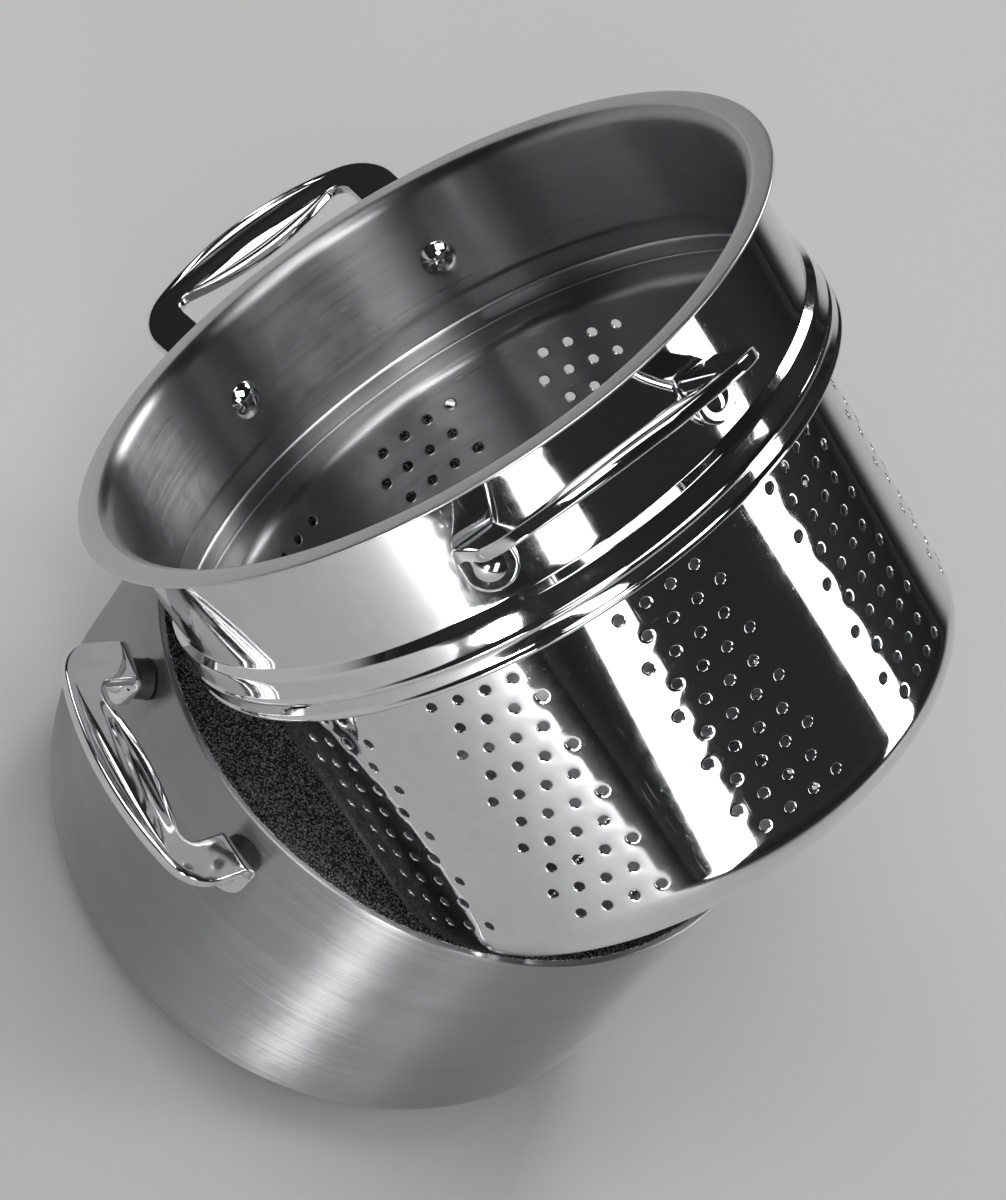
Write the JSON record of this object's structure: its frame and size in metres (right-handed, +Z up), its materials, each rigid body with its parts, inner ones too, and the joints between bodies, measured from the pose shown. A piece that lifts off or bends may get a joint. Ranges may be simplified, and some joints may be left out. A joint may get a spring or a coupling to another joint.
{
  "type": "pasta pot with strainer insert",
  "caption": "Round-bellied lined stockpot with two loop handles and a deep perforated strainer that leans in its mouth; the strainer has a stepped collar, a flat lip and two riveted loop handles.",
  "frame": {"origin": "centre of the pot's flat underside", "axes": "+Z up along the pot's axis; the pot's handles lie on the X axis, the left one on -X"},
  "size_m": [0.3294, 0.3356, 0.4044],
  "materials": {
    "brushed_pot": "satin, brushed round the pot",
    "lining": "dark speckled non-stick coating",
    "polished_handles": "mirror-polished cast steel",
    "polished_sheet": "mirror-polished outside, brushed inside",
    "fasteners": "polished steel",
    "heat_breaks": "black heat-resistant moulding"
  },
  "bodies": {
    "pot": {"pot_body": "brushed_pot", "nonstick_lining": "lining", "handle_left": "polished_handles", "handle_right": "polished_handles", "studs_left": "fasteners", "studs_right": "fasteners", "heat_breaks_left": "heat_breaks", "heat_breaks_right": "heat_breaks", "cap_nuts_left": "fasteners", "cap_nuts_right": "fasteners"},
    "strainer": {"strainer_basket": "polished_sheet", "strainer_handle_near": "polished_handles", "strainer_handle_far": "polished_handles", "rivets_near": "fasteners", "rivets_far": "fasteners"}
  },
  "joints": [
    {"name": "strainer_lift", "type": "slide", "parent": "pot", "child": "strainer", "axis": [0, 0, 1], "range_m": [0, 0.18]}
  ]
}
